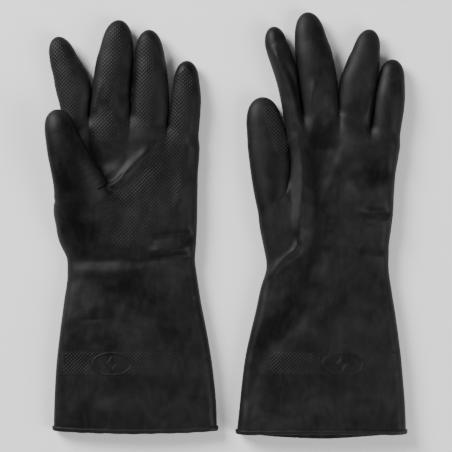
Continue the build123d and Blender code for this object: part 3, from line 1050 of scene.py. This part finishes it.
def gauntlet_grid(glove, level, stations, columns):
    """Rings of points from the mouth to just past the wrist."""
    shares, turns = columns
    bow_top, bow_under = glove.mouth
    bulge = (1 - shares ** 2) * np.where(np.sin(turns) > 0, bow_top, bow_under)
    origins, directions = [], []
    span = WRIST_REACH - glove.mouth_v
    for v in stations:
        row_v = v - bulge * ((WRIST_REACH - v) / span) ** 3
        middle, half = glove.span(row_v)
        edge_radius = glove.thickness(middle + half, row_v) / 2
        u = middle + shares * (half - edge_radius * 1.02)
        origins.append(np.stack([u, row_v, np.maximum(glove.thickness(u, row_v), LEAST_DEPTH) / 2], axis=1))
        directions.append(np.stack([np.cos(turns), np.zeros(len(turns)), np.sin(turns)], axis=1))
    return cast(np.concatenate(origins), np.concatenate(directions), glove.cuff, 24, level)


def gauntlet_stations(glove):
    """Ring places: close together across the grip band, wider elsewhere."""
    band_low, band_high = BAND
    fine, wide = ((0.5, 1.5))
    parts = [np.arange(glove.mouth_v, band_low, wide), np.arange(band_low, band_high, fine),
             np.arange(band_high, WRIST_REACH - wide / 2, wide), [WRIST_REACH]]
    return np.concatenate(parts)


def make_gauntlet(glove, material, inner_material):
    """The gauntlet and the skin of the wrist, which share one grid of rings."""
    stations = gauntlet_stations(glove)
    columns = gauntlet_columns(235, 70, 13)
    count = len(columns[0])
    points = gauntlet_grid(glove, 0, stations, columns)
    faces = grid_faces(len(stations), count)
    points, normals = relief_on(glove, points, faces, directions_out(glove.cuff, points))
    wrist_line = points[-count:]
    inner_stations = np.concatenate([[glove.mouth_v], np.linspace(glove.mouth_v + 4, -WRIST_REACH, 30),
                                     [0, WRIST_REACH]])
    inner_columns = gauntlet_columns(60, 50, 8)
    inner_count = len(inner_columns[0])
    inner = gauntlet_grid(glove, WALL, inner_stations, inner_columns)
    inner_faces = grid_faces(len(inner_stations), inner_count)[:, ::-1]
    inner_normals = vertex_normals(inner, inner_faces)

    def strip(low, high):
        """Both sides of the skin from one ring to another."""
        sides = []
        for places, grid, columns in ((stations, (points, faces, normals), count),
                                      (inner_stations, (inner, inner_faces, inner_normals), inner_count)):
            start, stop = (nearest_row(places, v) for v in (low, high))
            sides.append(split_rings(*grid, columns, start, stop))
        return join(*sides)

    gauntlet = finish_piece(glove, "gauntlet_skin", *strip(glove.mouth_v, -WRIST_REACH), material)
    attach(gauntlet, f"{glove.side}_gauntlet")
    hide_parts(f"{glove.side}_gauntlet")
    wrist = finish_piece(glove, "wrist_skin", *strip(-WRIST_REACH, WRIST_REACH), material)
    bend(wrist)
    make_bead(glove, points[:count], inner_material)
    return wrist_line


def make_bead(glove, rim, material):
    """The rolled bead round the mouth, with a groove along its crown."""
    ahead, behind = np.roll(rim, -1, axis=0), np.roll(rim, 1, axis=0)
    tangent = unit(ahead - behind)
    down_arm = np.array([0.0, -1.0, 0.0])
    axial = unit(down_arm - (tangent @ down_arm)[:, None] * tangent)
    outward = np.cross(axial, tangent)
    middle = rim.mean(axis=0)
    if np.mean(np.sum(outward * (rim - middle), axis=1)) < 0:
        outward = -outward
    turns = np.linspace(0, 2 * math.pi, 25)[:-1]
    groove = GROOVE * np.exp(-((np.degrees(turns) - 78) / 17) ** 2)
    radius = BEAD_RADIUS - groove
    along = radius * np.cos(turns) * 1.05 + BEAD_OFFSET
    out = radius * np.sin(turns) - WALL / 2 + 0.15
    wobble = 0.12 * np.sin(np.arange(len(rim)) * 0.23) + 0.1 * np.sin(np.arange(len(rim)) * 0.071)
    ring = rim[:, None] + axial[:, None] * (along[None, :, None] + wobble[:, None, None]) \
        + outward[:, None] * out[None, :, None]
    points = ring.reshape(-1, 3)
    points[:, 2] = np.maximum(points[:, 2], 0)
    faces = grid_faces(len(rim) + 1, len(turns)) % len(points)
    normals = vertex_normals(points, faces)
    centre = np.repeat(rim + axial * BEAD_OFFSET - outward * (WALL / 2 - 0.15), len(turns), axis=0)
    if np.mean(np.sum(normals * (points - centre), axis=1)) < 0:
        faces = faces[:, ::-1]
        normals = -normals
    bead = finish_piece(glove, "cuff_bead_skin", points, faces, normals, material, "cuff_bead_rubber")
    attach(bead, f"{glove.side}_gauntlet")
    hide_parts(f"{glove.side}_cuff_bead")


# ---------------------------------------------------------------- material
def rubber(title, tint):
    """Matt black dipped rubber with a dusty bloom, painted highlights and painted shade from each glove's
    patches, faint smears and fine pores.
    """
    material = bpy.data.materials.new(title)
    material.use_nodes = True
    nodes, links = material.node_tree.nodes, material.node_tree.links
    nodes.clear()
    output = nodes.new("ShaderNodeOutputMaterial")
    shader = nodes.new("ShaderNodeBsdfPrincipled")
    links.new(shader.outputs["BSDF"], output.inputs["Surface"])
    place = nodes.new("ShaderNodeTexCoord").outputs["Object"]

    def noise(scale, detail, roughness, distortion=0.0, stretch=None):
        source = place
        if stretch:
            mapping = nodes.new("ShaderNodeMapping")
            mapping.inputs["Scale"].default_value = stretch
            links.new(place, mapping.inputs["Vector"])
            source = mapping.outputs["Vector"]
        texture = nodes.new("ShaderNodeTexNoise")
        for name, value in (("Scale", scale), ("Detail", detail), ("Roughness", roughness),
                            ("Distortion", distortion)):
            texture.inputs[name].default_value = value
        links.new(source, texture.inputs["Vector"])
        return texture.outputs["Fac"]

    def ramp(value, stops):
        node = nodes.new("ShaderNodeValToRGB")
        node.color_ramp.elements[0].position, node.color_ramp.elements[0].color = stops[0]
        node.color_ramp.elements[1].position, node.color_ramp.elements[1].color = stops[-1]
        for position, colour in stops[1:-1]:
            node.color_ramp.elements.new(position).color = colour
        links.new(value, node.inputs["Fac"])
        return node.outputs["Color"]

    def grey(level):
        return (level, level, level, 1)

    # The base colour and roughness follow random dusty mottling plus each glove's patches, which are painted
    # highlights on ridges and painted shade in creases and valleys.
    patches = nodes.new("ShaderNodeAttribute")
    patches.attribute_name = "bloom"
    total = nodes.new("ShaderNodeMath")
    total.operation = "ADD"
    links.new(noise(38, 5, 0.6, 0.6), total.inputs[0])
    links.new(patches.outputs["Fac"], total.inputs[1])
    bloom = total.outputs["Value"]
    smears = noise(120, 4, 0.65, 1.2, (1.0, 0.35, 1.0))
    pores = noise(2600, 2, 0.5)
    dark, pale = tint
    base = ramp(bloom, ((0.3, (*dark, 1)), (0.62, (*pale, 1)), (0.9, (*(2.2 * c for c in pale), 1))))
    dust = ramp(smears, ((0.45, grey(0.0)), (0.75, grey(0.35))))
    mix = nodes.new("ShaderNodeMix")
    mix.data_type = "RGBA"
    mix.blend_type = "ADD"
    mix.inputs["Factor"].default_value = 0.014
    links.new(base, mix.inputs["A"])
    links.new(dust, mix.inputs["B"])
    links.new(mix.outputs["Result"], shader.inputs["Base Color"])
    rough = ramp(bloom, ((0.3, grey(0.46)), (0.7, grey(0.6))))
    links.new(rough, shader.inputs["Roughness"])
    shader.inputs["Specular IOR Level"].default_value = 0.16
    bump = nodes.new("ShaderNodeBump")
    bump.inputs["Strength"].default_value = 0.25
    bump.inputs["Distance"].default_value = 0.0001
    links.new(pores, bump.inputs["Height"])
    links.new(bump.outputs["Normal"], shader.inputs["Normal"])
    return material


def plain(name, colour, roughness):
    material = bpy.data.materials.new(name)
    material.use_nodes = True
    shader = material.node_tree.nodes["Principled BSDF"]
    shader.inputs["Base Color"].default_value = (*colour, 1)
    shader.inputs["Roughness"].default_value = roughness
    return material


# ---------------------------------------------------------------- floor, lights and camera
def look_at(thing, target):
    direction = np.array(target) - np.array(thing.location)
    thing.rotation_euler = Vector(direction).to_track_quat("-Z", "Y").to_euler()


def add_light(name, location, target, size, energy):
    data = bpy.data.lights.new(name, "AREA")
    data.shape = "RECTANGLE"
    data.size, data.size_y = size
    data.energy = energy
    look_at(add_object(name, data, location), target)


def make_stage():
    mesh = bpy.data.meshes.new("floor")
    side = 3.0
    corners = [(-side, -side, 0), (side, -side, 0), (side, side, 0), (-side, side, 0)]
    mesh.from_pydata(corners, [], [(0, 1, 2, 3)])
    mesh.materials.append(plain("floor_paper", (0.9, 0.9, 0.9), 0.95))
    floor = add_object("floor", mesh, (0, 0, -0.0004))
    world = bpy.data.worlds.new("studio")
    world.use_nodes = True
    background = world.node_tree.nodes["Background"]
    background.inputs["Color"].default_value = (1, 1, 1, 1)
    background.inputs["Strength"].default_value = 0.25
    bpy.context.scene.world = world
    add_light("key", (-1.5, 1.3, 1.35), (0, 0, 0), (1.1, 1.1), 110)
    add_light("fill", (1.6, -0.9, 1.3), (0, 0, 0), (1.4, 1.4), 45)


def make_camera():
    data = bpy.data.cameras.new("camera")
    data.sensor_width = 36
    data.lens = 150
    centre_x, centre_y, seen_width = -0.0005, -0.0010, 0.3378
    height = seen_width * data.lens / data.sensor_width + 0.012
    bpy.context.scene.camera = add_object("camera", data, (centre_x, centre_y, height))


shell = rubber("shell_rubber", ((0.0012, 0.0012, 0.0014), (0.0076, 0.0076, 0.0079)))
rim = rubber("bead_rubber", ((0.004, 0.004, 0.0042), (0.01, 0.01, 0.0103)))
for glove in make_shapes():
    line = make_gauntlet(glove, shell, rim)
    make_hand(glove, shell, line)
    for digit in (glove.thumb, *glove.fingers):
        make_digit(glove, digit, shell)
make_stage()
make_camera()
